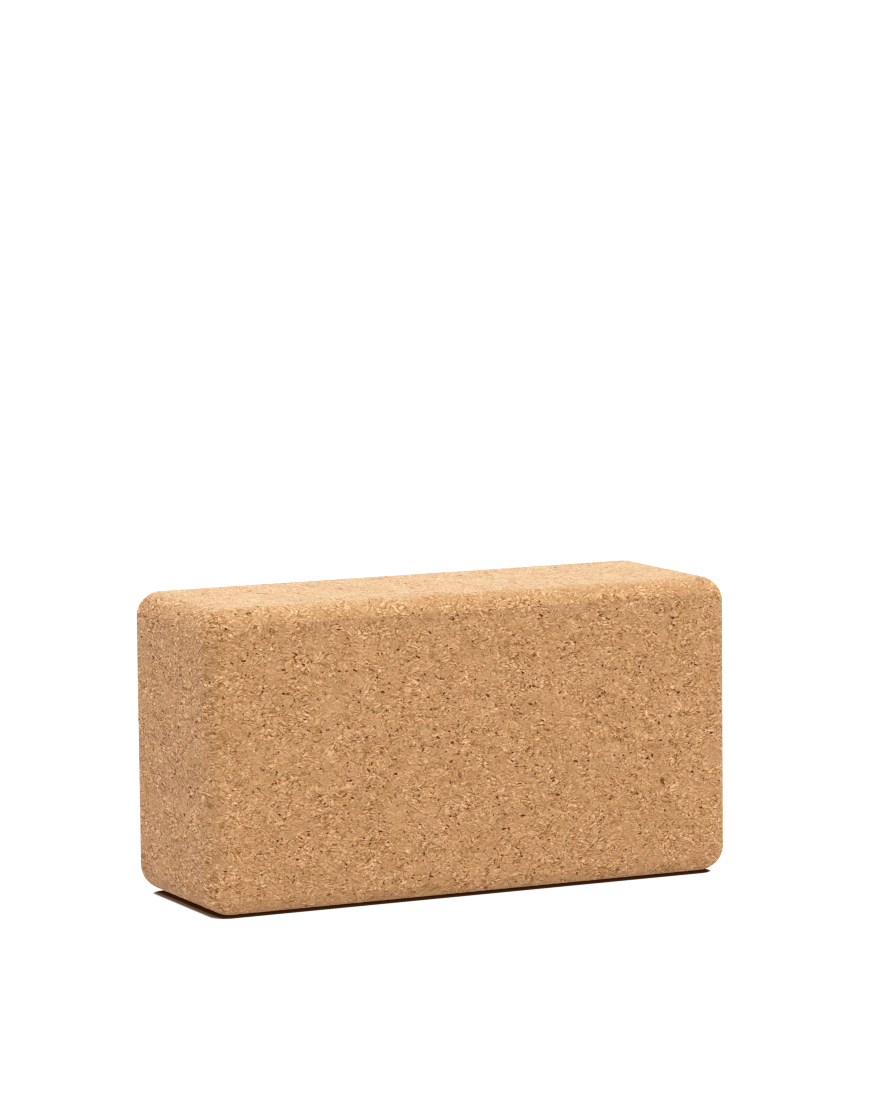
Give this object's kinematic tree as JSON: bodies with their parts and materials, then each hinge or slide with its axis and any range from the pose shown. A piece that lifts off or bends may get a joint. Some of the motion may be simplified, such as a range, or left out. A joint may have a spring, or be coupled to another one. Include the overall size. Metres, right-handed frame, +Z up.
{
  "type": "yoga block",
  "caption": "Firm rectangular support block of pressed cork granules with every edge and corner rounded, for the hand, foot or hip in yoga poses.",
  "frame": {"origin": "middle of the narrow long side that the block stands on, so z = 0 is the surface under it", "axes": "+X along the block's length, +Y through its thickness (the 82.55 mm side), +Z up its height (the 120.65 mm side); the broad face at -Y is the one the picture looks at"},
  "size_m": [0.2286, 0.0826, 0.1207],
  "materials": {
    "agglomerated_cork": "pressed and bound cork granules in mixed tans with short dark brown flecks and pores, sawn and sanded, uncoated and matt"
  },
  "bodies": {
    "root": {"cork_block": "agglomerated_cork"}
  },
  "joints": []
}
